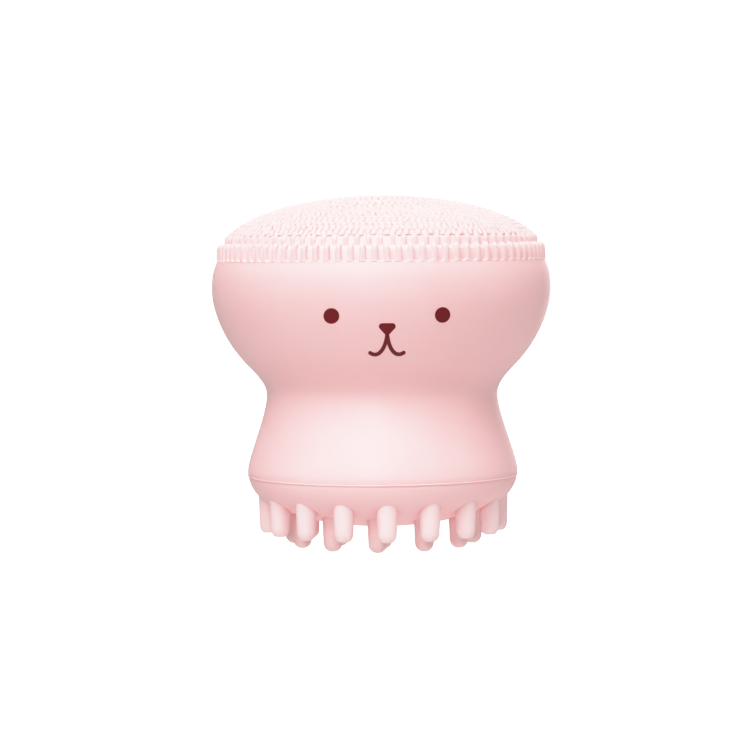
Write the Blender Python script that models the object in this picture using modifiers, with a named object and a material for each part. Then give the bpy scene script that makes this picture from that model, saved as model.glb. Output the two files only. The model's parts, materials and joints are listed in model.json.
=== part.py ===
"""Silicone facial cleansing brush: hollow body, bristle crown, base moulding and flexible massage nubs.

The brush stands on its nubs. The origin is on the turning axis at the level of the lowest nub tips,
+Z is up and the printed face looks along -Y. Every length is in metres.
"""

from math import acos, atan2, cos, degrees, pi, radians, sin, sqrt

import bmesh
import bpy
from mathutils import Matrix, Vector

MM = 0.001

# Gap left between pieces that touch on the real brush
GAP = 0.3 * MM
MERGE_DISTANCE = 0.01 * MM

# Hollow body: a bowl over a narrow waist over a flared skirt
SHELL_TOP = 41.7 * MM
SHELL_TOP_RADIUS = 24.32 * MM
BOWL_RADIUS = 25.0 * MM
BOWL_HEIGHT = 37.8 * MM
WAIST_RADIUS = 17.1 * MM
WAIST_HEIGHT = 22.1 * MM
SKIRT_RADIUS = 19.98 * MM
SKIRT_HEIGHT = 10.9 * MM
SEAM_HEIGHT = 10.15 * MM
SEAM_RADIUS = 19.93 * MM
WALL = 3.8 * MM
SHELL_SEGMENTS = 48

# Points (r, z) that shape the body's outer side, from its rim down to its skirt
RIM = (SHELL_TOP_RADIUS, SHELL_TOP)
RIM_BENDS = ((24.6 * MM, 40.7 * MM), (24.97 * MM, 40.0 * MM))
BULGE = (BOWL_RADIUS, BOWL_HEIGHT)
BOWL_BENDS = ((BOWL_RADIUS, 33.8 * MM), (22.45 * MM, 29.13 * MM))
TUCK = (19.74 * MM, 26.45 * MM)
TUCK_BENDS = ((17.1 * MM, 23.82 * MM), (WAIST_RADIUS, 22.9 * MM))
WAIST = (WAIST_RADIUS, WAIST_HEIGHT)
WAIST_BENDS = ((WAIST_RADIUS, 19.1 * MM), (SKIRT_RADIUS, 13.0 * MM))
SKIRT = (SKIRT_RADIUS, SKIRT_HEIGHT)

# Points (r, z) that shape its inner side, upwards
INNER_SKIRT_BENDS = ((15.6 * MM, 15.0 * MM), (13.3 * MM, 19.4 * MM))
INNER_WAIST = (WAIST_RADIUS - WALL, WAIST_HEIGHT)
INNER_BOWL_BENDS = ((13.3 * MM, 26.4 * MM), (21.2 * MM, 30.6 * MM))
INNER_BULGE = (BOWL_RADIUS - WALL, BOWL_HEIGHT)

# Base moulding: a shallow dome under a rounded flank, with a rib that plugs into the skirt
DOME_RADIUS = 20.0 * MM
DOME_DEPTH = 7.42 * MM
DOME_CENTRE_HEIGHT = 10.12 * MM
DOME_EDGE_ANGLE = 22.5
FLANK_BENDS = ((19.9 * MM, 9.1 * MM), (19.25 * MM, 8.05 * MM))
PLUG_RADIUS = 15.8 * MM
PLUG_TOP = 12.4 * MM
PLUG_WALL = 2.0 * MM
DOME_FLOOR = 6.8 * MM

# Bristle crown: the tips lie on a low dome, with two stepped rows round its edge
CROWN_RADIUS = 24.0 * MM
CROWN_CENTRE_HEIGHT = 43.3 * MM
CROWN_TOP = 51.6 * MM
ROW_BRISTLES = 88
ROW_DEPTH = 0.85 * MM
ROW_BASE = 0.35 * MM
BRISTLE_SHARE = 0.62
OUTER_ROW_RADIUS = 24.25 * MM
OUTER_ROW_TOP = 44.6 * MM
SECOND_ROW_TOP = 45.9 * MM
PAD_CEILING = 46.2 * MM
PAD_PLUG_RADIUS = 19.9 * MM
PAD_PLUG_WALL = 2.0 * MM
PAD_PLUG_DEPTH = 2.4 * MM

# Massage nubs: rings of round fingers, each hinged where its root leaves the dome
NUB_ROOT_RADIUS = 1.5 * MM
NUB_TIP_RADIUS = 1.38 * MM
NUB_TIP_ANGLE = 60.0
NUB_SEGMENTS = 10
HINGE_DEPTH = 0.8 * MM
SOCKET_RADIUS = NUB_ROOT_RADIUS + GAP
SOCKET_RINGS = 6
# Ring name: count, ring radius, turn of the first nub from the face (degrees), height of the tips
NUB_RINGS = {
    "nub_outer": (17, 17.0 * MM, 0.0, 1.9 * MM),
    "nub_middle": (12, 13.2 * MM, -5.4, 0.0),
    "nub_inner": (6, 7.4 * MM, -2.0, 0.0),
}

# Printed animal face: places are (x, height) as seen from the front
INK_LIFT = 0.1 * MM
INK_THICKNESS = 0.12 * MM
EYE_RADIUS = 1.1 * MM
EYE_SPACING = 15.5 * MM
EYE_HEIGHT = 34.35 * MM
NOSE_WIDTH = 2.35 * MM
NOSE_TOP = 33.3 * MM
NOSE_BOTTOM = 31.6 * MM
NOSE_CORNER = 0.45 * MM
STROKE_WIDTH = 0.56 * MM
MOUTH_TOP = (0.0, NOSE_BOTTOM - GAP / 2)
MOUTH_BEND = (0.15 * MM, 29.9 * MM)
MOUTH_CURL = (1.1 * MM, 28.2 * MM)
MOUTH_CORNER = (2.35 * MM, 29.1 * MM)

# Colour and roughness of each material
BODY_SILICONE = ((0.86, 0.60, 0.60), 0.45)
BASE_SILICONE = ((0.86, 0.58, 0.58), 0.45)
BRISTLE_SILICONE = ((0.92, 0.74, 0.74), 0.5)
NUB_SILICONE = ((0.90, 0.68, 0.68), 0.42)
FACE_INK = ((0.16, 0.015, 0.02), 0.5)


def clear_scene():
    for obj in list(bpy.data.objects):
        bpy.data.objects.remove(obj, do_unlink=True)


def new_collection(name):
    collection = bpy.data.collections.new(name)
    bpy.context.scene.collection.children.link(collection)
    return collection


def new_material(name, colour, roughness):
    material = bpy.data.materials.new(name)
    material.use_nodes = True
    shader = material.node_tree.nodes["Principled BSDF"]
    shader.inputs["Base Color"].default_value = (*colour, 1.0)
    shader.inputs["Roughness"].default_value = roughness
    shader.inputs["Metallic"].default_value = 0.0
    material.diffuse_color = (*colour, 1.0)
    return material


def bezier(start, first, second, end, steps):
    """Points of one cubic stretch of an outline, its end point left out."""
    points = []
    for i in range(steps):
        t = i / steps
        weights = ((1 - t) ** 3, 3 * t * (1 - t) ** 2, 3 * t * t * (1 - t), t**3)
        corners = (start, first, second, end)
        points.append(tuple(sum(w * c[k] for w, c in zip(weights, corners)) for k in range(2)))
    return points


def ellipse(radius, depth, centre_height, start, end, steps):
    """Points (r, z) of an ellipse about the axis, its angles in degrees from the horizontal."""
    angles = [radians(start + (end - start) * i / steps) for i in range(steps + 1)]
    return [(radius * cos(a), centre_height + depth * sin(a)) for a in angles]


def body_outline():
    """The body's outer side from its rim down to the seam."""
    points = bezier(RIM, *RIM_BENDS, BULGE, 4)
    points += bezier(BULGE, *BOWL_BENDS, TUCK, 6)
    points += bezier(TUCK, *TUCK_BENDS, WAIST, 4)
    points += bezier(WAIST, *WAIST_BENDS, SKIRT, 6)
    points += [SKIRT, (SEAM_RADIUS, SEAM_HEIGHT + GAP / 2)]
    return points


def body_bore():
    """The body's inner side from the seam up to its rim, one wall inside the outline."""
    mouth = (PLUG_RADIUS + GAP, PLUG_TOP + GAP)
    points = [(PLUG_RADIUS + GAP, SEAM_HEIGHT + GAP / 2)]
    points += bezier(mouth, *INNER_SKIRT_BENDS, INNER_WAIST, 3)
    points += bezier(INNER_WAIST, *INNER_BOWL_BENDS, INNER_BULGE, 4)
    points += [INNER_BULGE, (PAD_PLUG_RADIUS + GAP, SHELL_TOP)]
    return points


def radius_at(height):
    """Radius of the body's outer side at a height."""
    outline = body_outline()
    for (r_above, z_above), (r_below, z_below) in zip(outline, outline[1:]):
        if z_below <= height <= z_above:
            share = (height - z_below) / (z_above - z_below)
            return r_below + share * (r_above - r_below)
    return SEAM_RADIUS


def dome_height(radius):
    """Height of the base dome's underside at a distance from the axis."""
    return DOME_CENTRE_HEIGHT - DOME_DEPTH * sqrt(1.0 - (radius / DOME_RADIUS) ** 2)


def on_body(x, height, lift=INK_LIFT):
    """Point on the front of the body, seen from -Y, raised by the lift."""
    radius = radius_at(height) + lift
    return Vector((x, -sqrt(radius**2 - x**2), height))


def add_object(name, mesh, collection, material):
    mesh.materials.append(material)
    obj = bpy.data.objects.new(name, mesh)
    collection.objects.link(obj)
    return obj


def profile_object(name, points, collection, material, closed=False):
    """Object with edges through points (r, z), on its own XZ plane."""
    mesh = bpy.data.meshes.new(name)
    edges = [(i, i + 1) for i in range(len(points) - 1)]
    if closed:
        edges.append((len(points) - 1, 0))
    mesh.from_pydata([(r, 0.0, z) for r, z in points], edges, [])
    return add_object(name, mesh, collection, material)


def turn(obj, segments):
    """Turn the object's profile round its own Z axis."""
    screw = obj.modifiers.new("Turn", "SCREW")
    screw.steps = segments
    screw.render_steps = segments
    screw.use_merge_vertices = True
    screw.merge_threshold = MERGE_DISTANCE
    screw.use_smooth_shade = True


def make_body_shell(collection, material):
    """Turned hollow body, open at its rim and at its seam."""
    outline = body_outline() + body_bore()
    shell = profile_object("body_shell", outline, collection, material, closed=True)
    turn(shell, SHELL_SEGMENTS)


def make_bristle_pad(collection, material):
    """Domed plate that roofs the body, with the field of fine bristles as one solid up to its tips."""
    field_radius = OUTER_ROW_RADIUS - 2 * (ROW_DEPTH + GAP)
    edge_angle = degrees(acos(field_radius / CROWN_RADIUS))
    underside = SHELL_TOP + GAP
    plug_bottom = SHELL_TOP - PAD_PLUG_DEPTH
    plug_inner = PAD_PLUG_RADIUS - PAD_PLUG_WALL
    crown_depth = CROWN_TOP - CROWN_CENTRE_HEIGHT
    points = ellipse(CROWN_RADIUS, crown_depth, CROWN_CENTRE_HEIGHT, 90.0, edge_angle, 7)
    points[0] = (0.0, CROWN_TOP)
    points += [(field_radius, underside), (PAD_PLUG_RADIUS, underside)]
    points += [(PAD_PLUG_RADIUS, plug_bottom), (plug_inner, plug_bottom)]
    points += ellipse(plug_inner, PAD_CEILING - underside, underside, 0.0, 90.0, 4)
    points[-1] = (0.0, PAD_CEILING)
    pad = profile_object("bristle_pad", points, collection, material)
    turn(pad, SHELL_SEGMENTS)


def make_bristle_row(name, outer_radius, top, collection, material):
    """Ring of square bristles: a thin band with every other face of its top drawn up."""
    inner_radius = outer_radius - ROW_DEPTH
    low = SHELL_TOP + GAP
    high = low + ROW_BASE
    section = [(outer_radius, low), (outer_radius, high), (inner_radius, high), (inner_radius, low)]
    pitch = 2 * pi / ROW_BRISTLES
    bm = bmesh.new()
    rings = []
    for bristle in range(ROW_BRISTLES):
        for side in (-0.5, 0.5):
            angle = (bristle + side * BRISTLE_SHARE) * pitch
            rings.append([bm.verts.new((r * cos(angle), r * sin(angle), z)) for r, z in section])
    bristle_roots = []
    for i, (ring, after) in enumerate(zip(rings, rings[1:] + rings[:1])):
        band = []
        for k, corner in enumerate(ring):
            m = (k + 1) % len(ring)
            band.append(bm.faces.new((corner, after[k], after[m], ring[m])))
        if i % 2 == 0:
            bristle_roots.append(band[1])
    drawn = bmesh.ops.extrude_discrete_faces(bm, faces=bristle_roots)
    tips = {corner for face in drawn["faces"] for corner in face.verts}
    bmesh.ops.translate(bm, verts=list(tips), vec=(0.0, 0.0, top - high))
    bmesh.ops.recalc_face_normals(bm, faces=bm.faces)
    mesh = bpy.data.meshes.new(name)
    bm.to_mesh(mesh)
    bm.free()
    add_object(name, mesh, collection, material)


def nub_places():
    """Name, hinge point, direction about Z and tip height of every nub."""
    places = []
    for ring, (count, radius, first_turn, tip_height) in NUB_RINGS.items():
        for i in range(count):
            angle = radians(first_turn + 360.0 * i / count) - pi / 2
            hinge = Vector((radius * cos(angle), radius * sin(angle), dome_height(radius) - HINGE_DEPTH))
            places.append((f"{ring}_{i + 1:02d}", hinge, angle, tip_height))
    centre_hinge = Vector((0.0, 0.0, dome_height(0.0) - HINGE_DEPTH))
    places.append(("nub_centre", centre_hinge, -pi / 2, 0.0))
    return places


def nub_profile(length):
    """Outline of a nub about its hinge: ball root above, slight taper, rounded tip with a small flat."""
    ball = ellipse(NUB_ROOT_RADIUS, NUB_ROOT_RADIUS, 0.0, 90.0, 0.0, 2)
    ball[0] = (0.0, NUB_ROOT_RADIUS)
    tip_rise = NUB_TIP_RADIUS * sin(radians(NUB_TIP_ANGLE))
    tip = ellipse(NUB_TIP_RADIUS, NUB_TIP_RADIUS, tip_rise - length, 0.0, -NUB_TIP_ANGLE, 2)
    return ball + tip + [(0.0, tip[-1][1])]


def make_nubs(collection, material):
    """Every nub is its own object, with its origin on its hinge and its X axis pointing outward."""
    for name, hinge, angle, tip_height in nub_places():
        profile = nub_profile(hinge.z - tip_height)
        nub = profile_object(name, profile, collection, material)
        turn(nub, NUB_SEGMENTS)
        nub.location = hinge
        nub.rotation_euler = (0.0, 0.0, angle)


def make_socket_cutter(collection):
    """One ball round each nub's root."""
    bm = bmesh.new()
    for _, hinge, angle, _ in nub_places():
        place = Matrix.Translation(hinge) @ Matrix.Rotation(angle, 4, "Z")
        bmesh.ops.create_uvsphere(
            bm, u_segments=NUB_SEGMENTS, v_segments=SOCKET_RINGS, radius=SOCKET_RADIUS, matrix=place
        )
    mesh = bpy.data.meshes.new("socket_cutter")
    bm.to_mesh(mesh)
    bm.free()
    cutter = bpy.data.objects.new("socket_cutter", mesh)
    collection.objects.link(cutter)
    cutter.hide_render = True
    cutter.display_type = "WIRE"
    return cutter


def make_base_cap(collection, cutters, material):
    """Domed base with a plug for the skirt's mouth and a round socket for each nub's root."""
    rim_height = SEAM_HEIGHT - GAP / 2
    plug_inner = PLUG_RADIUS - PLUG_WALL
    points = ellipse(plug_inner, rim_height - DOME_FLOOR, rim_height, -90.0, 0.0, 4)
    points[0] = (0.0, DOME_FLOOR)
    points += [(plug_inner, PLUG_TOP), (PLUG_RADIUS, PLUG_TOP), (PLUG_RADIUS, rim_height)]
    dome = ellipse(DOME_RADIUS, DOME_DEPTH, DOME_CENTRE_HEIGHT, -DOME_EDGE_ANGLE, -90.0, 8)
    points += bezier((SEAM_RADIUS, rim_height), *FLANK_BENDS, dome[0], 4)
    points += dome
    points[-1] = (0.0, dome_height(0.0))
    cap = profile_object("base_cap", points, collection, material)
    turn(cap, SHELL_SEGMENTS)
    sockets = cap.modifiers.new("Sockets", "BOOLEAN")
    sockets.operation = "DIFFERENCE"
    sockets.solver = "EXACT"
    sockets.object = make_socket_cutter(cutters)


def thicken(obj):
    """Give an open patch of ink its thickness, away from the body."""
    solid = obj.modifiers.new("Ink", "SOLIDIFY")
    solid.thickness = INK_THICKNESS
    solid.offset = 1.0


def make_ink_patch(name, centre, outline, collection, material):
    """Patch of ink inside an outline (x, height) that runs anticlockwise seen from the front."""
    corners = [on_body(x, z) for x, z in outline] + [on_body(*centre)]
    count = len(outline)
    fan = [(i, (i + 1) % count, count) for i in range(count)]
    mesh = bpy.data.meshes.new(name)
    mesh.from_pydata(corners, [], fan)
    thicken(add_object(name, mesh, collection, material))


def arc(centre, radius, start, end, steps):
    """Points (x, height) on an arc, its angles in radians."""
    angles = [start + (end - start) * i / steps for i in range(steps + 1)]
    return [(centre[0] + radius * cos(a), centre[1] + radius * sin(a)) for a in angles]


def make_eyes(collection, material):
    for name, side in (("print_eye_left", -1), ("print_eye_right", 1)):
        centre = (side * EYE_SPACING / 2, EYE_HEIGHT)
        outline = arc(centre, EYE_RADIUS, 0.0, 2 * pi, 16)[:-1]
        make_ink_patch(name, centre, outline, collection, material)


def make_nose(collection, material):
    """Rounded triangle, flat side up."""
    half_width = NOSE_WIDTH / 2 - NOSE_CORNER
    top = NOSE_TOP - NOSE_CORNER
    bottom = NOSE_BOTTOM + NOSE_CORNER
    side_normal = atan2(-half_width, top - bottom)
    outline = arc((half_width, top), NOSE_CORNER, side_normal, pi / 2, 4)
    outline += arc((-half_width, top), NOSE_CORNER, pi / 2, pi - side_normal, 4)
    outline += arc((0.0, bottom), NOSE_CORNER, pi - side_normal, 2 * pi + side_normal, 4)
    make_ink_patch("print_nose", (0.0, (top + bottom) / 2), outline, collection, material)


def make_mouth(collection, material):
    """Right-hand stroke down from the nose and out to a curled corner, mirrored to the left."""
    line = bezier(MOUTH_TOP, MOUTH_BEND, MOUTH_CURL, MOUTH_CORNER, 9) + [MOUTH_CORNER]
    widths = [STROKE_WIDTH / 2] * len(line)
    last = Vector(line[-1])
    forward = (last - Vector(line[-2])).normalized()
    for angle in (30.0, 60.0):
        line.append(tuple(last + forward * STROKE_WIDTH / 2 * sin(radians(angle))))
        widths.append(STROKE_WIDTH / 2 * cos(radians(angle)))
    corners = []
    for i, (point, width) in enumerate(zip(line, widths)):
        before = Vector(line[max(i - 1, 0)])
        after = Vector(line[min(i + 1, len(line) - 1)])
        along = (after - before).normalized()
        across = Vector((-along.y, along.x)) * width
        upper = Vector(point) + across
        lower = Vector(point) - across
        corners += [on_body(max(lower.x, 0.0), lower.y), on_body(max(upper.x, 0.0), upper.y)]
    faces = [(k, k + 2, k + 3, k + 1) for k in range(0, len(corners) - 2, 2)]
    mesh = bpy.data.meshes.new("print_mouth")
    mesh.from_pydata(corners, [], faces)
    mouth = add_object("print_mouth", mesh, collection, material)
    mirror = mouth.modifiers.new("Left side", "MIRROR")
    mirror.use_mirror_merge = True
    mirror.merge_threshold = MERGE_DISTANCE
    thicken(mouth)


def main():
    clear_scene()
    brush = new_collection("facial_cleansing_brush")
    cutters = new_collection("cutters")
    body = new_material("body_silicone", *BODY_SILICONE)
    base = new_material("base_silicone", *BASE_SILICONE)
    bristle = new_material("bristle_silicone", *BRISTLE_SILICONE)
    nub = new_material("nub_silicone", *NUB_SILICONE)
    ink = new_material("face_ink", *FACE_INK)
    make_body_shell(brush, body)
    make_bristle_pad(brush, bristle)
    make_bristle_row("bristle_row_outer", OUTER_ROW_RADIUS, OUTER_ROW_TOP, brush, bristle)
    second_radius = OUTER_ROW_RADIUS - ROW_DEPTH - GAP
    make_bristle_row("bristle_row_second", second_radius, SECOND_ROW_TOP, brush, bristle)
    make_base_cap(brush, cutters, base)
    make_nubs(brush, nub)
    make_eyes(brush, ink)
    make_nose(brush, ink)
    make_mouth(brush, ink)


main()
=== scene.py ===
"""Looks of the silicone facial cleansing brush: smooth mouldings, fine bristles, flexible nubs and the
printed face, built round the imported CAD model. Every length is in metres, in the CAD model's frame."""

import json
from collections import namedtuple
from math import acos, atan2, cos, pi, radians, sin, sqrt

import bpy
import numpy as np
from mathutils import Euler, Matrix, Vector


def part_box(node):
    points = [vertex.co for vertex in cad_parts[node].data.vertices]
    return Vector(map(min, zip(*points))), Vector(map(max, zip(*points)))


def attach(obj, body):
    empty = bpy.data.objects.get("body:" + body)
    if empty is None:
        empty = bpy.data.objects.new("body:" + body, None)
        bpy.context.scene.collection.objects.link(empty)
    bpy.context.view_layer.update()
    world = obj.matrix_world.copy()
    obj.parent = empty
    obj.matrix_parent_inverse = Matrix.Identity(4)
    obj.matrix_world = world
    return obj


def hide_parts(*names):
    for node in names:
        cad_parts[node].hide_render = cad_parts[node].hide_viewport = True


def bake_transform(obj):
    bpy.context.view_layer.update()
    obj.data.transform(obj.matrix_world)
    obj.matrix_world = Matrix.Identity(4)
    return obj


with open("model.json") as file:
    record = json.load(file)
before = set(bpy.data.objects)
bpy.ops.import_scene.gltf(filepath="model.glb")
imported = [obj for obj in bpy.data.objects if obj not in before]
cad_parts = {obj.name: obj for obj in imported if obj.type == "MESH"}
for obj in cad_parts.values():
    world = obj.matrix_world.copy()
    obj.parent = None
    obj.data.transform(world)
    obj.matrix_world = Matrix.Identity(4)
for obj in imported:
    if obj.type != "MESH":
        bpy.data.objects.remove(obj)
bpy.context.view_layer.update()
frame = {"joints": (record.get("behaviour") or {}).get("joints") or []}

MM = 0.001
BRUSH = "brush"
RANDOM = np.random.default_rng(7)

# Places read from the CAD model
SHELL_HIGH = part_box("body_shell")[1]
CAP_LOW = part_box("base_cap")[0]
PAD_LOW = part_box("bristle_pad")[0]
OUTER_ROW_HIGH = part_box("bristle_row_outer")[1]
SECOND_ROW_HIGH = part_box("bristle_row_second")[1]
JOINTS = {joint["child"]: joint for joint in frame["joints"]}

# Body outline as in the CAD model: circles from the rim down to the seam, and the bends between them
BOWL_RADIUS = SHELL_HIGH.x
BOWL_HEIGHT = 37.8 * MM
RIM_RADIUS = 24.28 * MM
RIM_HEIGHT = 41.9 * MM
RIM_ROUND = 0.25 * MM
RIM_BENDS = ((24.6 * MM, 40.8 * MM), (24.97 * MM, 40.0 * MM))
TUCK = (19.74 * MM, 26.45 * MM)
BOWL_BENDS = ((BOWL_RADIUS, 33.8 * MM), (22.45 * MM, 29.13 * MM))
WAIST_RADIUS = 17.1 * MM
WAIST_HEIGHT = 22.1 * MM
WAIST_BENDS = ((WAIST_RADIUS, 23.82 * MM), (WAIST_RADIUS, 22.9 * MM))
SKIRT_RADIUS = 19.98 * MM
SKIRT_HEIGHT = 10.9 * MM
SKIRT_BENDS = ((WAIST_RADIUS, 19.1 * MM), (SKIRT_RADIUS, 13.0 * MM))
SEAM_RADIUS = 19.93 * MM
SEAM_HEIGHT = 10.15 * MM
BODY_SEGMENTS = 256

# Cavity of the body, open at the mouth under the crown
WALL = 3.8 * MM
CAVITY_FOOT = 16.1 * MM
CAVITY_LOW_BENDS = ((15.6 * MM, 15.0 * MM), (13.3 * MM, 19.4 * MM))
CAVITY_HIGH_BENDS = ((13.3 * MM, 26.4 * MM), (21.2 * MM, 30.6 * MM))
CAVITY_MOUTH = 20.3 * MM

# Raised moulding line along the seam, and the groove under it
BEAD_RISE = 0.07 * MM
BEAD_HEIGHT = 0.22 * MM
BEAD_FILLET = 0.03 * MM
SEAM_LAND = 0.4 * MM
SEAM_GROOVE = 0.08 * MM

# Base: a shallow elliptical dome under a sloping flank, with a flat hollow inside
DOME_RADIUS = 20.0 * MM
DOME_DEPTH = 7.42 * MM
DOME_CENTRE = CAP_LOW.z + DOME_DEPTH
DOME_EDGE = 18.2 * MM
FLANK_DROP = 0.04 * MM
FLANK_BENDS = ((19.85 * MM, 9.2 * MM), (19.05 * MM, 7.73 * MM))
BASE_LAP = 0.02 * MM
LIP_RADIUS = 15.6 * MM
HOLLOW_RADIUS = 13.6 * MM
HOLLOW_FLATNESS = 0.25

# Bristle crown: tips on one low dome, roots on another
TIP_DOME_RADIUS = 24.0 * MM
TIP_DOME_CENTRE = 42.77 * MM
TIP_DOME_TOP = 51.5 * MM
PLATE_DROP = 0.45 * MM
PLATE_START = 0.4 * MM
FIELD_RADIUS = 21.95 * MM
FIELD_MARGIN = 0.1 * MM
ROW_STEP = 0.84 * MM
CROWN_SEGMENTS = 176

# Carrier under the bristles: steps behind the two rows, a spigot in the body's mouth, and a ceiling whose
# height falls by its curve times the radius squared
OUTER_WALL_INSET = 0.55 * MM
SECOND_WALL_INSET = 0.28 * MM
STEP_TOP_DROP = 0.3 * MM
STEP_EDGE_DROP = 0.7 * MM
STEP_EDGE_WIDTH = 0.3 * MM
STEP_FACE_DROP = 1.0 * MM
SPIGOT_TOP = 20.0 * MM
SPIGOT_FOOT = 19.9 * MM
SPIGOT_INSIDE = 17.9 * MM
CEILING_EDGE = (17.0 * MM, 42.4 * MM)
CEILING_HEIGHT = 46.2 * MM
CEILING_CURVE = 13.0
CEILING_RADII = (12.0 * MM, 6.0 * MM, 0.5 * MM)

# Kinds of bristle. The power of a section is 1 for a round one and less for a rounded box. A foot's rings
# are (rise, spread along, spread across), and a tip's rings are (drop, scale).
Peg = namedtuple("Peg", ("sides", "power", "foot", "cap"))
BRISTLE_TAPER = 0.94

# Flat bristles of the two stepped rows. Their depth points outwards, and they lean and turn by a little
ROW_BRISTLES = 88
RIB_WIDTH = 0.96 * MM
RIB_DEPTH = 1.25 * MM
RIB_LENGTH = 2.7 * MM
RIB_SLOPE = -0.3
RIB_FOOT_RISE = 0.42 * MM
RIB_FLARE_ALONG = 0.02 * MM
RIB_FLARE_ACROSS = 0.42 * MM
RIB_TIP_LENGTH = 0.65 * MM
RIB_TIP_SINK = 0.1 * MM
RIB_TIP_POWER = 0.9
RIB_TURN_SPREAD = 0.0012
RIB_TIP_SPREAD_MM = 0.12
RIB_LEAN_SPREAD = 0.015 * MM
RIB_WIDTH_RANGE = (0.95, 1.04)
RIB = Peg(
    sides=20,
    power=0.8,
    foot=tuple(
        (RIB_FOOT_RISE * (1 - cos(a)), RIB_FLARE_ALONG * (1 - sin(a)), RIB_FLARE_ACROSS * (1 - sin(a)))
        for a in (0.0, 0.35, 0.7, 1.05, pi / 2)
    ),
    cap=tuple(
        (RIB_TIP_LENGTH * (1 - sin(a)) + RIB_TIP_SINK, cos(a) ** RIB_TIP_POWER)
        for a in (0.0, 0.35, 0.7, 1.0, 1.3)
    ),
)

# Round bristles of the field, spread a little in place, length and size
BRISTLE_PITCH = 0.9 * MM
BRISTLE_RADIUS = 0.41 * MM
BRISTLE_FLARE = 0.08 * MM
BRISTLE_FOOT_RISE = 0.2 * MM
BRISTLE_TIP_LENGTH = 0.2 * MM
BRISTLE_TIP_POWER = 0.6
BRISTLE_ROOT_DEPTH = 0.15 * MM
BRISTLE_OUTWARD_SPREAD = 0.04 * MM
BRISTLE_SIDEWAYS_SPREAD = 0.03 * MM
BRISTLE_TIP_SPREAD_MM = 0.1
BRISTLE_LEAN_SPREAD = 0.04 * MM
BRISTLE_SIZE_RANGE = (0.94, 1.06)
ROUND_BRISTLE = Peg(
    sides=8,
    power=1.0,
    foot=((0.0, BRISTLE_FLARE, BRISTLE_FLARE), (BRISTLE_FOOT_RISE, 0.0, 0.0)),
    cap=tuple(
        (BRISTLE_TIP_LENGTH * (1 - sin(a)), cos(a) ** BRISTLE_TIP_POWER) for a in (0.0, 0.5, 0.95, 1.3)
    ),
)

# Nubs: slightly tapered fingers with rounded tips, rooted in shallow moats.
NUB_RADIUS = 1.5 * MM
NUB_TIP_RADIUS = 1.38 * MM
NUB_TIP_LENGTH = NUB_TIP_RADIUS * 0.96
OUTER_NUB_FLAT = 0.6 * MM
INNER_NUB_FLAT = 0.15 * MM
FLAT_EDGE = 0.9
MOAT_WIDTH = 0.2 * MM
MOAT_DEPTH = 0.3 * MM
ROOT_FLARE = MOAT_WIDTH * 0.8
ROOT_TUCK = 0.02 * MM
NUB_SEGMENTS = 40

# Printed face, as in the CAD model
INK_LIFT = 0.015 * MM
INK_RISE = 0.05 * MM
EYE_RADIUS = 1.1 * MM
EYE_SPACING = 15.5 * MM
EYE_HEIGHT = 34.35 * MM
NOSE_WIDTH = 2.35 * MM
NOSE_TOP = 33.3 * MM
NOSE_BOTTOM = 31.6 * MM
NOSE_CORNER = 0.45 * MM
STROKE_WIDTH = 0.56 * MM
MOUTH_LINE = (
    (0.0, NOSE_BOTTOM + 0.2 * MM),
    (0.15 * MM, 29.9 * MM),
    (1.1 * MM, 28.2 * MM),
    (2.35 * MM, 29.1 * MM),
)

# How a patch of ink closes in on its middle, and how much of its rise it has by then
PATCH_SHARES = (1.0, 1.0, 0.985, 0.96, 0.92, 0.75, 0.5, 0.25)
PATCH_RISE = (0.0, 0.6, 0.9, 1.0)
STROKE_SHARES = (1.0, 1.0, 0.96, 0.85, 0.6, 0.0)
STROKE_RISE = (0.0, 0.5, 0.85, 1.0, 1.0)

# Colours: two tones of cloudy pigment, and deeper tones painted into creases as shade
PINK = ((0.97, 0.595, 0.6), (0.965, 0.575, 0.58))
PINK_PAINTED_SHADE = (0.94, 0.5, 0.51)
# Crown: a lighter copy of the body's silicone, painted light for the light falling on its top
CROWN_LIT_PINK = ((0.96, 0.65, 0.65), (0.96, 0.635, 0.635))
# Outer nubs: a lighter copy of the same silicone, painted light for the front light and highlights they
# catch
NUB_LIT_PINK = ((0.97, 0.7, 0.705), (0.965, 0.68, 0.685))
NUB_PAINTED_SHADE = (0.93, 0.5, 0.51)
# Inner nubs: a deeper copy of the same silicone, painted shade for the shadow they stand in among the outer
# nubs
INNER_NUB_SHADED_PINK = ((0.9, 0.6, 0.6), (0.89, 0.585, 0.585))
INNER_NUB_PAINTED_SHADE = (0.84, 0.49, 0.495)
MAROON = ((0.175, 0.011, 0.014), (0.145, 0.008, 0.011))
# Reach of the painted shade in creases: how near other surfaces must be for the tint to deepen
PAINTED_SHADE_REACH = 0.7 * MM

# Camera: lengths and reach in metres, angles in degrees, lens and sensor in millimetres
CAMERA_DISTANCE = 400.0 * MM
CAMERA_HEIGHT = 44.5 * MM
CAMERA_AZIMUTH = -1.9
CAMERA_PITCH = 2.8
CAMERA_ROLL = -0.5
CAMERA_PAN = 0.148
CAMERA_LENS = 130.0
CAMERA_SENSOR = 36.0
CAMERA_REACH = (0.01, 20.0)

# White studio. The tone curve gives (light, shown) pairs up to the white level
FLOOR_SIZE = 3.0
FLOOR_WHITE = (0.9, 0.9, 0.9, 1.0)
FRONT_LIGHT = 0.27
BACK_LIGHT = 0.44
FLOOR_LIGHT = 0.4
SOFT_WHITE = (1.0, 0.97, 0.97, 1.0)
PURE_WHITE = (1.0, 1.0, 1.0, 1.0)
WHITE_LEVEL = 2.0
SHOULDER = ((0.3, 0.3), (0.6, 0.6), (0.85, 0.83), (1.0, 0.9), (1.3, 0.96))

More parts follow.
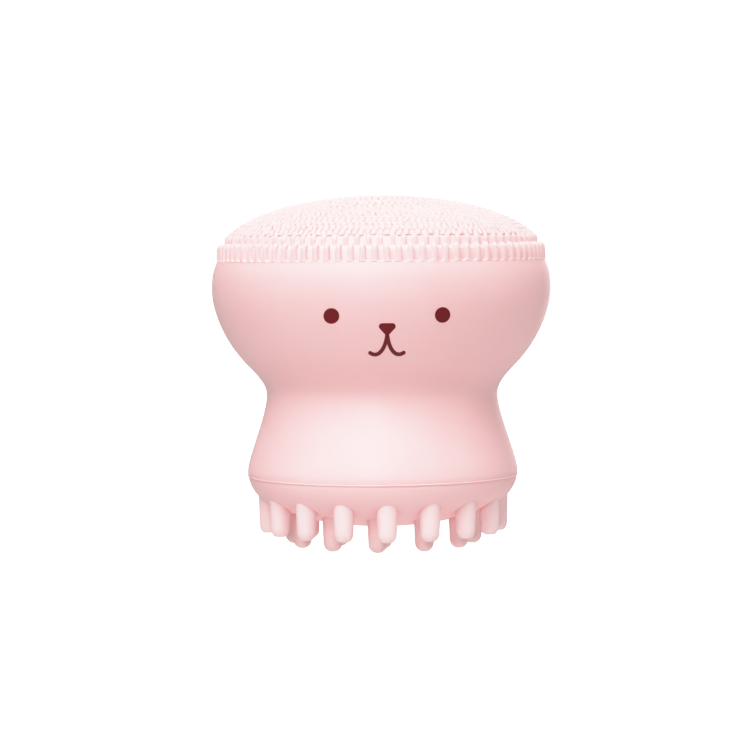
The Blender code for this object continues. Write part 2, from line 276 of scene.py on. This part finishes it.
# Square soft boxes that look at the middle of the brush: name, azimuth, elevation, distance, size, power.
# Azimuth 0 is in front, 90 to the right.
BRUSH_MIDDLE = (0.0, 0.0, 25.0 * MM)
SOFT_BOXES = (
    ("key", -14.0, 49.0, 0.7, 0.42, 3.7),
    ("top_fill", 0.0, 82.0, 0.7, 0.42, 2.0),
    ("left_fill", -50.0, 35.0, 0.7, 0.42, 1.05),
    ("right_fill", 70.0, 12.0, 0.7, 0.42, 1.0),
    ("back_fill", 170.0, 10.0, 0.7, 0.42, 1.6),
    ("table_bounce", 0.0, -75.0, 0.35, 0.3, 0.36),
)

# Soft-edged spot on the front of the skirt
SPOT_AZIMUTH = -12.0
SPOT_ELEVATION = 20.0
SPOT_DISTANCE = 0.3
SPOT_ANGLE = 11.0
SPOT_POWER = 1.05
SPOT_SOURCE = 20.0 * MM
SPOT_AIM = (-2.0 * MM, 0.0, 8.7 * MM)


# ---------------------------------------------------------------- outlines


def bezier(start, first, second, end, steps):
    """Points of one cubic stretch, its end point left out."""
    t = np.arange(steps)[:, None] / steps
    start, first, second, end = (np.array(p, float) for p in (start, first, second, end))
    return (1 - t) ** 3 * start + 3 * t * (1 - t) ** 2 * first + 3 * t**2 * (1 - t) * second + t**3 * end


def arc(centre, radius, start, end, steps):
    """Points on an arc, its angles in degrees."""
    angles = np.radians(np.linspace(start, end, steps + 1))
    return np.stack([centre[0] + radius * np.cos(angles), centre[1] + radius * np.sin(angles)], 1)


def unit_circle(segments):
    """Points (x, y) round the unit circle."""
    turns = 2 * pi * np.arange(segments) / segments
    return np.stack([np.cos(turns), np.sin(turns)], 1)


def body_side():
    """Outer side of the body (r, z), from just under its rim down to the skirt's end."""
    rim = (RIM_RADIUS, RIM_HEIGHT - RIM_ROUND)
    bulge = (BOWL_RADIUS, BOWL_HEIGHT)
    waist = (WAIST_RADIUS, WAIST_HEIGHT)
    skirt = (SKIRT_RADIUS, SKIRT_HEIGHT)
    stretches = [
        bezier(rim, *RIM_BENDS, bulge, steps=22),
        bezier(bulge, *BOWL_BENDS, TUCK, steps=36),
        bezier(TUCK, *WAIST_BENDS, waist, steps=24),
        bezier(waist, *SKIRT_BENDS, skirt, steps=32),
    ]
    return np.concatenate(stretches)


def base_side():
    """Outer side of the base (r, z), from the seam down its flank and over the dome to the axis."""
    top = (SEAM_RADIUS - SEAM_GROOVE, SEAM_HEIGHT - FLANK_DROP)
    angles = np.linspace(-acos(DOME_EDGE / DOME_RADIUS), -pi / 2, 44)
    dome = np.stack([DOME_RADIUS * np.cos(angles), DOME_CENTRE + DOME_DEPTH * np.sin(angles)], 1)
    return np.concatenate([bezier(top, *FLANK_BENDS, dome[0], steps=14), dome])


def dome_height(radius):
    """Height of the base's underside at a distance from the axis."""
    side = base_side()[::-1]
    return np.interp(radius, side[:, 0], side[:, 1])


def tip_height(radius):
    """Height of the bristle tips' dome."""
    depth = TIP_DOME_TOP - TIP_DOME_CENTRE
    return TIP_DOME_CENTRE + depth * np.sqrt(1.0 - (radius / TIP_DOME_RADIUS) ** 2)


def tip_slope(radius):
    """Slope of the bristle tips' dome."""
    step = 0.01 * MM
    return float(tip_height(radius + step) - tip_height(radius - step)) / (2 * step)


def plate_height(radius):
    """Height of the domed plate that the fine bristles grow from."""
    return tip_height(radius) - PLATE_DROP


# ---------------------------------------------------------------- mesh helpers


def place_mesh(name, vertices, faces):
    """Object of a new mesh, in the scene."""
    mesh = bpy.data.meshes.new(name)
    mesh.from_pydata([tuple(v) for v in vertices], [], [tuple(f) for f in faces])
    obj = bpy.data.objects.new(name, mesh)
    bpy.context.scene.collection.objects.link(obj)
    return obj


def shade(mesh, sharp):
    """Smooth shading, broken at edges sharper than the angle in degrees."""
    mesh.shade_smooth()
    mesh.set_sharp_from_angle(angle=radians(sharp))


def add_mesh(name, vertices, faces, material, sharp=50.0):
    obj = place_mesh(name, vertices, faces)
    obj.data.validate()
    shade(obj.data, sharp)
    obj.data.materials.append(material)
    return obj


def loft(rings, loop=False, close_start=False, close_end=False):
    """Vertices and faces of a skin over rings of equally many points. A closed end fans to its centre."""
    rings = [np.asarray(ring, float) for ring in rings]
    count = len(rings[0])
    vertices = list(np.concatenate(rings))
    pairs = list(range(len(rings) - 1)) + ([len(rings) - 1] if loop else [])
    faces = []
    for i in pairs:
        a = i * count
        b = ((i + 1) % len(rings)) * count
        for k in range(count):
            m = (k + 1) % count
            faces.append((a + k, b + k, b + m, a + m))
    if close_start:
        vertices.append(rings[0].mean(0))
        faces += [(len(vertices) - 1, k, (k + 1) % count) for k in range(count)]
    if close_end:
        vertices.append(rings[-1].mean(0))
        a = (len(rings) - 1) * count
        faces += [(len(vertices) - 1, a + (k + 1) % count, a + k) for k in range(count)]
    return vertices, faces


def turned(profile, segments):
    """Rings of a profile (r, z) turned about the Z axis."""
    circle = unit_circle(segments)
    return [np.column_stack([circle * r, np.full(segments, z)]) for r, z in profile]


class Pile:
    """Gathers many small bodies into one mesh."""

    def __init__(self):
        self.vertices = []
        self.faces = []

    def add(self, vertices, faces):
        start = len(self.vertices)
        self.vertices += list(vertices)
        self.faces += [tuple(start + i for i in face) for face in faces]


# ---------------------------------------------------------------- materials


def node(tree, kind, **values):
    """New node; values name its sockets or, where it has no such socket, its settings."""
    made = tree.nodes.new(kind)
    for name, value in values.items():
        socket = name.replace("_", " ")
        if socket in made.inputs:
            made.inputs[socket].default_value = value
        else:
            setattr(made, name, value)
    return made


def join(tree, *links):
    """Link outputs to inputs, each link given as (node, output, node, input)."""
    for source, output, target, entry in links:
        tree.links.new(source.outputs[output], target.inputs[entry])


def new_material(name, **values):
    """Principled material, its sockets set by name; also its node tree and shader."""
    material = bpy.data.materials.new(name)
    material.use_nodes = True
    shader = material.node_tree.nodes["Principled BSDF"]
    for socket, value in values.items():
        shader.inputs[socket.replace("_", " ")].default_value = value
    return material, material.node_tree, shader


def blend_tones(tree, tones):
    """Mix of two tones; a factor of 1 gives the light one."""
    light, deep = tones
    return node(tree, "ShaderNodeMix", data_type="RGBA", A=(*deep, 1.0), B=(*light, 1.0))


def add_grain(tree, shader, grain, smoothest, roughest, strength, depth):
    """Fine grain in the roughness and the relief of a surface."""
    rough = node(
        tree, "ShaderNodeMapRange", From_Min=0.3, From_Max=0.7, To_Min=smoothest, To_Max=roughest
    )
    bump = node(tree, "ShaderNodeBump", Strength=strength, Distance=depth)
    join(
        tree,
        (grain, "Fac", rough, "Value"),
        (rough, "Result", shader, "Roughness"),
        (grain, "Fac", bump, "Height"),
        (bump, "Normal", shader, "Normal"),
    )


def silicone(name, tones, painted_shade, roughness, gloss, veil):
    """Soft silicone: cloudy pigment, powder-matte skin and light that spreads under the surface, with
    painted shade deepening its creases when a shade tone is given.
    """
    material, tree, shader = new_material(
        name,
        IOR=1.41,
        Specular_IOR_Level=gloss,
        Specular_Tint=(1.0, 0.8, 0.8, 1.0),
        Subsurface_Weight=veil,
        Subsurface_Radius=(1.0, 0.6, 0.6),
        Subsurface_Scale=0.3 * MM,
    )
    place = node(tree, "ShaderNodeTexCoord")
    cloud = node(tree, "ShaderNodeTexNoise", Scale=90.0, Detail=4.0, Roughness=0.55)
    speck = node(tree, "ShaderNodeTexNoise", Scale=2600.0, Detail=2.0, Roughness=0.6)
    spread = node(tree, "ShaderNodeMapRange", From_Min=0.35, From_Max=0.65)
    tint = blend_tones(tree, tones)
    join(
        tree,
        (place, "Object", cloud, "Vector"),
        (place, "Object", speck, "Vector"),
        (cloud, "Fac", spread, "Value"),
        (spread, "Result", tint, "Factor"),
    )
    # Painted shade: where other surfaces come close, within the reach, the tint deepens towards the given
    # shade tone
    if painted_shade:
        closeness = node(tree, "ShaderNodeAmbientOcclusion", Distance=PAINTED_SHADE_REACH, samples=12)
        shade_amount = node(tree, "ShaderNodeMapRange", From_Min=0.25, From_Max=0.95)
        shaded_tint = node(tree, "ShaderNodeMix", data_type="RGBA", A=(*painted_shade, 1.0))
        join(
            tree,
            (closeness, "AO", shade_amount, "Value"),
            (shade_amount, "Result", shaded_tint, "Factor"),
            (tint, "Result", shaded_tint, "B"),
        )
        tint = shaded_tint
    join(tree, (tint, "Result", shader, "Base Color"))
    add_grain(tree, shader, speck, roughness - 0.04, roughness + 0.05, strength=0.12, depth=0.03 * MM)
    return material


def ink(name, tones):
    """Pad-printed ink with a slightly uneven film."""
    material, tree, shader = new_material(name, Specular_IOR_Level=0.18)
    place = node(tree, "ShaderNodeTexCoord")
    film = node(tree, "ShaderNodeTexNoise", Scale=1500.0, Detail=3.0, Roughness=0.6)
    tint = blend_tones(tree, tones)
    join(
        tree,
        (place, "Object", film, "Vector"),
        (film, "Fac", tint, "Factor"),
        (tint, "Result", shader, "Base Color"),
    )
    add_grain(tree, shader, film, 0.42, 0.58, strength=0.15, depth=0.02 * MM)
    return material


# ---------------------------------------------------------------- mouldings


def make_body(material):
    """Hollow body: rounded rim, waist, and a thin raised bead where it meets the base."""
    rim = arc((RIM_RADIUS - RIM_ROUND, RIM_HEIGHT - RIM_ROUND), RIM_ROUND, 90.0, 0.0, steps=6)[:-1]
    bead_top = SEAM_HEIGHT + BEAD_HEIGHT
    bead_angles = np.radians(np.linspace(90.0, -90.0, 9))
    bead_radii = SEAM_RADIUS + BEAD_RISE * np.cos(bead_angles)
    bead_heights = SEAM_HEIGHT + BEAD_HEIGHT / 2 * (1 + np.sin(bead_angles))
    bead = np.stack([bead_radii, bead_heights], 1)
    skirt_end = [(SKIRT_RADIUS, SKIRT_HEIGHT), (SEAM_RADIUS + BEAD_FILLET, (SKIRT_HEIGHT + bead_top) / 2)]
    land = [(SEAM_RADIUS - SEAM_LAND, SEAM_HEIGHT)]
    inner_waist = (WAIST_RADIUS - WALL, WAIST_HEIGHT)
    inner_bulge = (BOWL_RADIUS - WALL, BOWL_HEIGHT)
    cavity = np.concatenate(
        [
            bezier((CAVITY_FOOT, SEAM_HEIGHT), *CAVITY_LOW_BENDS, inner_waist, steps=10),
            bezier(inner_waist, *CAVITY_HIGH_BENDS, inner_bulge, steps=10),
            [inner_bulge, (CAVITY_MOUTH, RIM_HEIGHT)],
        ]
    )
    profile = np.concatenate([rim, body_side(), skirt_end, bead, land, cavity])
    vertices, faces = loft(turned(profile, BODY_SEGMENTS), loop=True)
    body = add_mesh("body", vertices, faces, material)
    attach(body, BRUSH)
    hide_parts("body_shell")


def cut_moats(base):
    """Sink a shallow round moat into the base round the foot of every nub."""
    circle = unit_circle(NUB_SEGMENTS) * (NUB_RADIUS + MOAT_WIDTH)
    pile = Pile()
    for joint in JOINTS.values():
        xy = np.array(joint["pos_m"][:2]) + circle
        surface = dome_height(np.hypot(xy[:, 0], xy[:, 1]))
        roof = np.column_stack([xy, surface + MOAT_DEPTH])
        floor = np.column_stack([xy, surface - MOAT_DEPTH])
        pile.add(*loft([floor, roof], close_start=True, close_end=True))
    cutter = place_mesh("moats", pile.vertices, pile.faces)
    cut = base.modifiers.new("Moats", "BOOLEAN")
    cut.operation = "DIFFERENCE"
    cut.solver = "EXACT"
    cut.object = cutter
    solid = base.evaluated_get(bpy.context.evaluated_depsgraph_get())
    carved = bpy.data.meshes.new_from_object(solid)
    base.modifiers.remove(cut)
    base.data = carved
    shade(carved, sharp=40.0)
    bpy.data.objects.remove(cutter)


def make_base(material):
    """Domed base moulding, tucked just under the body's bead."""
    top = SEAM_HEIGHT + BASE_LAP
    lip = [(LIP_RADIUS, top), (SEAM_RADIUS - 3 * SEAM_GROOVE, top), (SEAM_RADIUS - 2 * SEAM_GROOVE, top)]
    inside = arc((0.0, top), HOLLOW_RADIUS, -88.0, 0.0, steps=12)
    inside[:, 1] = top + (inside[:, 1] - top) * HOLLOW_FLATNESS
    profile = np.concatenate([inside, lip, base_side()[:-1]])
    vertices, faces = loft(turned(profile, BODY_SEGMENTS), close_start=True, close_end=True)
    base = add_mesh("base", vertices, faces, material)
    cut_moats(base)
    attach(base, BRUSH)
    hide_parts("base_cap")


# ---------------------------------------------------------------- bristle crown


def bristle(peg, place, root, tip, half, angle, lean, slope):
    """One bristle of a kind: a rounded-box or round peg with a flared foot and a domed tip.

    place is (x, y). half holds its half-widths along and across the angle, lean how far its tip stands
    aside, and slope the tilt of its tip along the angle.
    """
    circle = unit_circle(peg.sides)
    section = np.sign(circle) * np.abs(circle) ** peg.power
    rings = [(root + rise, 1.0, (along, across), 0.0) for rise, along, across in peg.foot]
    rings += [(tip - drop, scale * BRISTLE_TAPER, (0.0, 0.0), slope) for drop, scale in peg.cap]
    turned_rings = []
    for z, scale, spread, tilt in rings:
        flat = section * (np.array(half) * scale + np.array(spread))
        share = (z - root) / (tip - root)
        x = place[0] + (flat[:, 0] * cos(angle) - flat[:, 1] * sin(angle)) + lean[0] * share
        y = place[1] + (flat[:, 0] * sin(angle) + flat[:, 1] * cos(angle)) + lean[1] * share
        turned_rings.append(np.column_stack([x, y, z + flat[:, 0] * tilt]))
    return loft(turned_rings[::-1], close_start=True, close_end=True)


def make_bristle_row(name, top, stagger, cad_node, material):
    """One stepped row of flat bristles round the crown's edge; top is the high corner of its CAD box."""
    radius = top.x - RIB_DEPTH / 2
    root = max(RIM_HEIGHT - RIM_ROUND, top.z - RIB_LENGTH)
    pile = Pile()
    for i in range(ROW_BRISTLES):
        angle = 2 * pi * (i + stagger) / ROW_BRISTLES + RANDOM.normal(0.0, RIB_TURN_SPREAD)
        place = (radius * cos(angle), radius * sin(angle))
        tip = top.z - RANDOM.uniform(0.0, RIB_TIP_SPREAD_MM) * MM
        lean = RANDOM.normal(0.0, RIB_LEAN_SPREAD, 2)
        half = (RIB_DEPTH / 2, RIB_WIDTH / 2 * RANDOM.uniform(*RIB_WIDTH_RANGE))
        pile.add(*bristle(RIB, place, root, tip, half, angle, lean, RIB_SLOPE))
    row = add_mesh(name, pile.vertices, pile.faces, material, sharp=80.0)
    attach(row, BRUSH)
    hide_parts(cad_node)


def carrier_side():
    """Profile (r, z) of the carrier: plate, steps behind the two rows, ledge on the rim, spigot, ceiling."""
    outer_wall = OUTER_ROW_HIGH.x - OUTER_WALL_INSET
    second_wall = SECOND_ROW_HIGH.x - SECOND_WALL_INSET
    ledge = RIM_RADIUS - 2 * RIM_ROUND
    sweep = ledge - outer_wall
    plate = [(r, float(plate_height(r))) for r in np.linspace(PLATE_START, second_wall, 40)]
    steps = [
        (second_wall, OUTER_ROW_HIGH.z - STEP_TOP_DROP),
        (outer_wall - STEP_EDGE_WIDTH, OUTER_ROW_HIGH.z - STEP_EDGE_DROP),
        (outer_wall, OUTER_ROW_HIGH.z - STEP_FACE_DROP),
    ]
    sweep_line = [tuple(p) for p in arc((ledge, RIM_HEIGHT + sweep), sweep, 180.0, 270.0, steps=6)]
    spigot = [
        (ledge, SHELL_HIGH.z),
        (SPIGOT_TOP, SHELL_HIGH.z),
        (SPIGOT_FOOT, PAD_LOW.z),
        (SPIGOT_INSIDE, PAD_LOW.z),
    ]
    ceiling = [(r, CEILING_HEIGHT - r**2 * CEILING_CURVE) for r in CEILING_RADII]
    return np.array(plate + steps + sweep_line + spigot + [CEILING_EDGE] + ceiling)


def make_crown(material):
    """Carrier with the field of round bristles on it, in rings from the edge inwards."""
    pile = Pile()
    pile.add(*loft(turned(carrier_side(), CROWN_SEGMENTS), close_start=True, close_end=True))
    radius = FIELD_RADIUS + FIELD_MARGIN
    while radius > ROW_STEP / 2:
        count = max(1, round(2 * pi * radius / BRISTLE_PITCH))
        phase = RANDOM.uniform(0.0, 1.0)
        for i in range(count):
            angle = 2 * pi * (i + phase) / count + RANDOM.normal(0.0, BRISTLE_SIDEWAYS_SPREAD / radius)
            r = radius + RANDOM.normal(0.0, BRISTLE_OUTWARD_SPREAD)
            place = (r * cos(angle), r * sin(angle))
            tip = float(tip_height(r)) - RANDOM.uniform(0.0, BRISTLE_TIP_SPREAD_MM) * MM
            root = float(plate_height(r)) - BRISTLE_ROOT_DEPTH
            size = BRISTLE_RADIUS * RANDOM.uniform(*BRISTLE_SIZE_RANGE)
            lean = RANDOM.normal(0.0, BRISTLE_LEAN_SPREAD, 2)
            pile.add(*bristle(ROUND_BRISTLE, place, root, tip, (size, size), angle, lean, tip_slope(r)))
        radius -= ROW_STEP
    crown = add_mesh("bristle_crown", pile.vertices, pile.faces, material, sharp=80.0)
    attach(crown, BRUSH)
    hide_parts("bristle_pad")


# ---------------------------------------------------------------- nubs


def nub_rings(hinge, tip_z, flat):
    """Rings of a nub from its foot in the moat down to its rounded tip; flat is the tip's flat radius."""
    circle = unit_circle(NUB_SEGMENTS)
    centre = np.array(hinge[:2])
    shoulder = tip_z + NUB_TIP_LENGTH
    rings = []

    def ring_at(radius, drop, share):
        """A ring that follows the dome's surface at a drop below it, levelling out as share goes to 1."""
        xy = centre + circle * radius
        surface = dome_height(np.hypot(xy[:, 0], xy[:, 1]))
        rings.append(np.column_stack([xy, (surface - drop) * (1 - share) + shoulder * share]))

    def level_ring(radius, z):
        """A flat ring at one height."""
        rings.append(np.column_stack([centre + circle * radius, np.full(NUB_SEGMENTS, z)]))

    for a in (0.0, 30.0, 60.0, 90.0):
        flare = ROOT_FLARE * (1 - sin(radians(a)))
        ring_at(NUB_RADIUS + flare, -MOAT_DEPTH * cos(radians(a)) - ROOT_TUCK, 0.0)
    for share in np.linspace(0.0, 1.0, 11)[1:]:
        ring_at(NUB_RADIUS + (NUB_TIP_RADIUS - NUB_RADIUS) * share, 0.0, share)
    for a in np.linspace(0.0, 90.0, 11)[1:-1]:
        radius = flat + (NUB_TIP_RADIUS - flat) * cos(radians(a))
        level_ring(radius, shoulder - (shoulder - tip_z) * sin(radians(a)))
    level_ring(flat * FLAT_EDGE, tip_z)
    return rings


def make_nubs(outer_material, inner_material):
    """A finger for every joint, standing from the dome's surface."""
    for name, joint in sorted(JOINTS.items()):
        hinge = Vector(joint["pos_m"])
        tip_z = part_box(name)[0].z
        outer = name.startswith("nub_outer")
        flat = OUTER_NUB_FLAT if outer else INNER_NUB_FLAT
        material = outer_material if outer else inner_material
        vertices, faces = loft(nub_rings(hinge, tip_z, flat), close_start=True, close_end=True)
        finger = add_mesh(name.replace("nub", "finger"), vertices, faces, material)
        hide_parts(name)
        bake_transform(finger)


# ---------------------------------------------------------------- printed face


SIDE = body_side()[::-1]


def on_body(x, height, lift):
    """Point on the front of the body, seen from -Y, raised by the lift."""
    radius = np.interp(height, SIDE[:, 1], SIDE[:, 0]) + lift
    return (x, -sqrt(radius**2 - x**2), height)


def ink_skin(rings, rise):
    """Rings (x, height) laid on the body: the first sunk into it, the next at shares of the rise."""
    lifts = [-INK_RISE] + [INK_LIFT + INK_RISE * share for share in rise]
    lifts += [INK_LIFT + INK_RISE] * (len(rings) - len(lifts))
    return [[on_body(x, z, lift) for x, z in ring] for ring, lift in zip(rings, lifts)]


def add_print(name, vertices, faces, material, cad_node):
    patch = add_mesh(name, vertices, faces, material, sharp=70.0)
    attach(patch, BRUSH)
    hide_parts(cad_node)


def domed_patch(outline, centre):
    """Vertices and faces of a patch of ink, from its outline (x, height) in to its centre."""
    outline = np.asarray(outline, float)
    centre = np.asarray(centre, float)
    rings = [centre + (outline - centre) * share for share in PATCH_SHARES]
    return loft(ink_skin(rings, PATCH_RISE), close_start=True, close_end=True)


def make_eyes(material):
    for side, name in ((-1, "eye_left"), (1, "eye_right")):
        centre = (side * EYE_SPACING / 2, EYE_HEIGHT)
        outline = arc(centre, EYE_RADIUS, 0.0, -360.0, steps=48)[:-1]
        add_print(name, *domed_patch(outline, centre), material, "print_" + name)


def make_nose(material):
    """Rounded triangle that points down."""
    half_width = NOSE_WIDTH / 2 - NOSE_CORNER
    top = NOSE_TOP - NOSE_CORNER
    bottom = NOSE_BOTTOM + NOSE_CORNER
    tilt = np.degrees(atan2(-half_width, top - bottom))
    corners = [
        arc((half_width, top), NOSE_CORNER, tilt, 90.0, steps=8),
        arc((-half_width, top), NOSE_CORNER, 90.0, 180.0 - tilt, steps=8),
        arc((0.0, bottom), NOSE_CORNER, 180.0 - tilt, 360.0 + tilt, steps=8),
    ]
    outline = np.concatenate(corners)[::-1]
    add_print("nose", *domed_patch(outline, (0.0, (top + bottom) / 2)), material, "print_nose")


def make_mouth(material):
    """Two strokes that part under the nose and curl up at the corners."""
    right = np.concatenate([bezier(*MOUTH_LINE, steps=40), [MOUTH_LINE[-1]]])
    half = STROKE_WIDTH / 2
    cap = np.radians(np.linspace(90.0, -90.0, 13))
    pile = Pile()
    for side in (1.0, -1.0):
        line = right * (side, 1.0)
        along = np.gradient(line, axis=0)
        along /= np.linalg.norm(along, axis=1)[:, None]
        across = np.column_stack([-along[:, 1], along[:, 0]])
        end = line[-1] + half * (np.cos(cap)[:, None] * along[-1] + np.sin(cap)[:, None] * across[-1])
        outline = np.concatenate([line + across * half, end, (line - across * half)[::-1]])
        core = np.concatenate([line, np.repeat(line[-1:], len(cap), axis=0), line[::-1]])
        if side < 0:
            outline, core = outline[::-1], core[::-1]
        rings = [core + (outline - core) * share for share in STROKE_SHARES]
        pile.add(*loft(ink_skin(rings, STROKE_RISE)))
    add_print("mouth", pile.vertices, pile.faces, material, "print_mouth")


# ---------------------------------------------------------------- stage, light and camera


def make_floor():
    """Plain white floor that neither shades nor lights the brush."""
    size = FLOOR_SIZE
    corners = [(-size, -size, 0.0), (size, -size, 0.0), (size, size, 0.0), (-size, size, 0.0)]
    material, _, _ = new_material(
        "floor",
        Base_Color=FLOOR_WHITE,
        Roughness=0.9,
        Specular_IOR_Level=0.1,
        Emission_Color=PURE_WHITE,
        Emission_Strength=WHITE_LEVEL,
    )
    floor = place_mesh("floor", corners, [(0, 1, 2, 3)])
    floor.data.materials.append(material)
    floor.visible_diffuse = False
    floor.visible_glossy = False
    floor.visible_shadow = False


def make_world():
    """White studio: plain white behind the object; its soft light is stronger behind and from below."""
    world = bpy.data.worlds.new("studio")
    bpy.context.scene.world = world
    world.use_nodes = True
    tree = world.node_tree
    tree.nodes.clear()
    place = node(tree, "ShaderNodeTexCoord")
    split = node(tree, "ShaderNodeSeparateXYZ")
    depth = node(
        tree, "ShaderNodeMapRange", From_Min=-1.0, From_Max=1.0, To_Min=FRONT_LIGHT, To_Max=BACK_LIGHT
    )
    height = node(tree, "ShaderNodeMapRange", From_Min=-0.9, From_Max=0.0, To_Min=FLOOR_LIGHT, To_Max=0.0)
    total = node(tree, "ShaderNodeMath", operation="ADD")
    path = node(tree, "ShaderNodeLightPath")
    soft = node(tree, "ShaderNodeBackground", Color=SOFT_WHITE)
    plain = node(tree, "ShaderNodeBackground", Color=PURE_WHITE, Strength=WHITE_LEVEL)
    mix = node(tree, "ShaderNodeMixShader")
    out = node(tree, "ShaderNodeOutputWorld")
    join(
        tree,
        (place, "Generated", split, "Vector"),
        (split, "Y", depth, "Value"),
        (split, "Z", height, "Value"),
        (depth, "Result", total, 0),
        (height, "Result", total, 1),
        (total, "Value", soft, "Strength"),
        (path, "Is Camera Ray", mix, "Fac"),
        (soft, "Background", mix, 1),
        (plain, "Background", mix, 2),
        (mix, "Shader", out, "Surface"),
    )


def place_lamp(name, light, azimuth, elevation, distance, target):
    """Hang a lamp round a target and turn it to look there."""
    lamp = bpy.data.objects.new(name, light)
    a, e = radians(azimuth), radians(elevation)
    back = Vector((sin(a) * cos(e), -cos(a) * cos(e), sin(e)))
    lamp.location = Vector(target) + back * distance
    lamp.rotation_euler = back.to_track_quat("Z", "Y").to_euler()
    bpy.context.scene.collection.objects.link(lamp)


def add_soft_box(name, azimuth, elevation, distance, size, power):
    light = bpy.data.lights.new(name, "AREA")
    light.shape = "SQUARE"
    light.size = size
    light.energy = power
    place_lamp(name, light, azimuth, elevation, distance, BRUSH_MIDDLE)


def add_skirt_spot():
    light = bpy.data.lights.new("skirt_spot", "SPOT")
    light.spot_size = radians(SPOT_ANGLE)
    light.spot_blend = 1.0
    light.shadow_soft_size = SPOT_SOURCE
    light.energy = SPOT_POWER
    place_lamp("skirt_spot", light, SPOT_AZIMUTH, SPOT_ELEVATION, SPOT_DISTANCE, SPOT_AIM)


def make_camera():
    camera = bpy.data.cameras.new("camera")
    camera.sensor_width = CAMERA_SENSOR
    camera.lens = CAMERA_LENS
    camera.clip_start, camera.clip_end = CAMERA_REACH
    obj = bpy.data.objects.new("camera", camera)
    a = radians(CAMERA_AZIMUTH)
    obj.location = (CAMERA_DISTANCE * sin(a), -CAMERA_DISTANCE * cos(a), CAMERA_HEIGHT)
    aim = Euler((radians(90.0 - CAMERA_PITCH), 0.0, a + radians(CAMERA_PAN)), "XYZ").to_matrix()
    roll = Euler((0.0, 0.0, radians(CAMERA_ROLL)), "XYZ").to_matrix()
    obj.rotation_euler = (aim @ roll).to_euler()
    bpy.context.scene.collection.objects.link(obj)
    bpy.context.scene.camera = obj


def make_tone():
    """Photographic tone: straight through the middle tones, with a soft shoulder for the lights."""
    view = bpy.context.scene.view_settings
    view.view_transform = "Standard"
    view.use_curve_mapping = True
    mapping = view.curve_mapping
    mapping.clip_max_x = WHITE_LEVEL
    curve = mapping.curves[3]
    curve.points[-1].location = (WHITE_LEVEL, 1.0)
    for light, shown in SHOULDER:
        curve.points.new(light, shown)
    mapping.update()


def make_stage():
    make_floor()
    make_world()
    for soft_box in SOFT_BOXES:
        add_soft_box(*soft_box)
    add_skirt_spot()
    make_camera()
    make_tone()


body_silicone = silicone("body_silicone", PINK, None, roughness=0.4, gloss=0.4, veil=0.2)
base_silicone = silicone("base_silicone", PINK, PINK_PAINTED_SHADE, roughness=0.42, gloss=0.4, veil=0.0)
# The crown's lighter pink is painted light on its top
bristle_silicone = silicone("bristle_silicone", CROWN_LIT_PINK, None, roughness=0.5, gloss=0.4, veil=0.2)
# The outer nubs' lighter pink is painted light
nub_silicone = silicone("nub_silicone", NUB_LIT_PINK, NUB_PAINTED_SHADE, roughness=0.38, gloss=0.6, veil=0.0)
# The inner nubs' deeper pink is painted shade
shaded_inner_nub_silicone = silicone(
    "shaded_inner_nub_silicone", INNER_NUB_SHADED_PINK, INNER_NUB_PAINTED_SHADE, roughness=0.42, gloss=0.4, veil=0.0
)
face_ink = ink("face_ink", MAROON)

make_body(body_silicone)
make_base(base_silicone)
make_crown(bristle_silicone)
make_bristle_row("bristles_outer", OUTER_ROW_HIGH, 0.0, "bristle_row_outer", bristle_silicone)
make_bristle_row("bristles_second", SECOND_ROW_HIGH, 0.5, "bristle_row_second", bristle_silicone)
make_nubs(nub_silicone, shaded_inner_nub_silicone)
make_eyes(face_ink)
make_nose(face_ink)
make_mouth(face_ink)
make_stage()
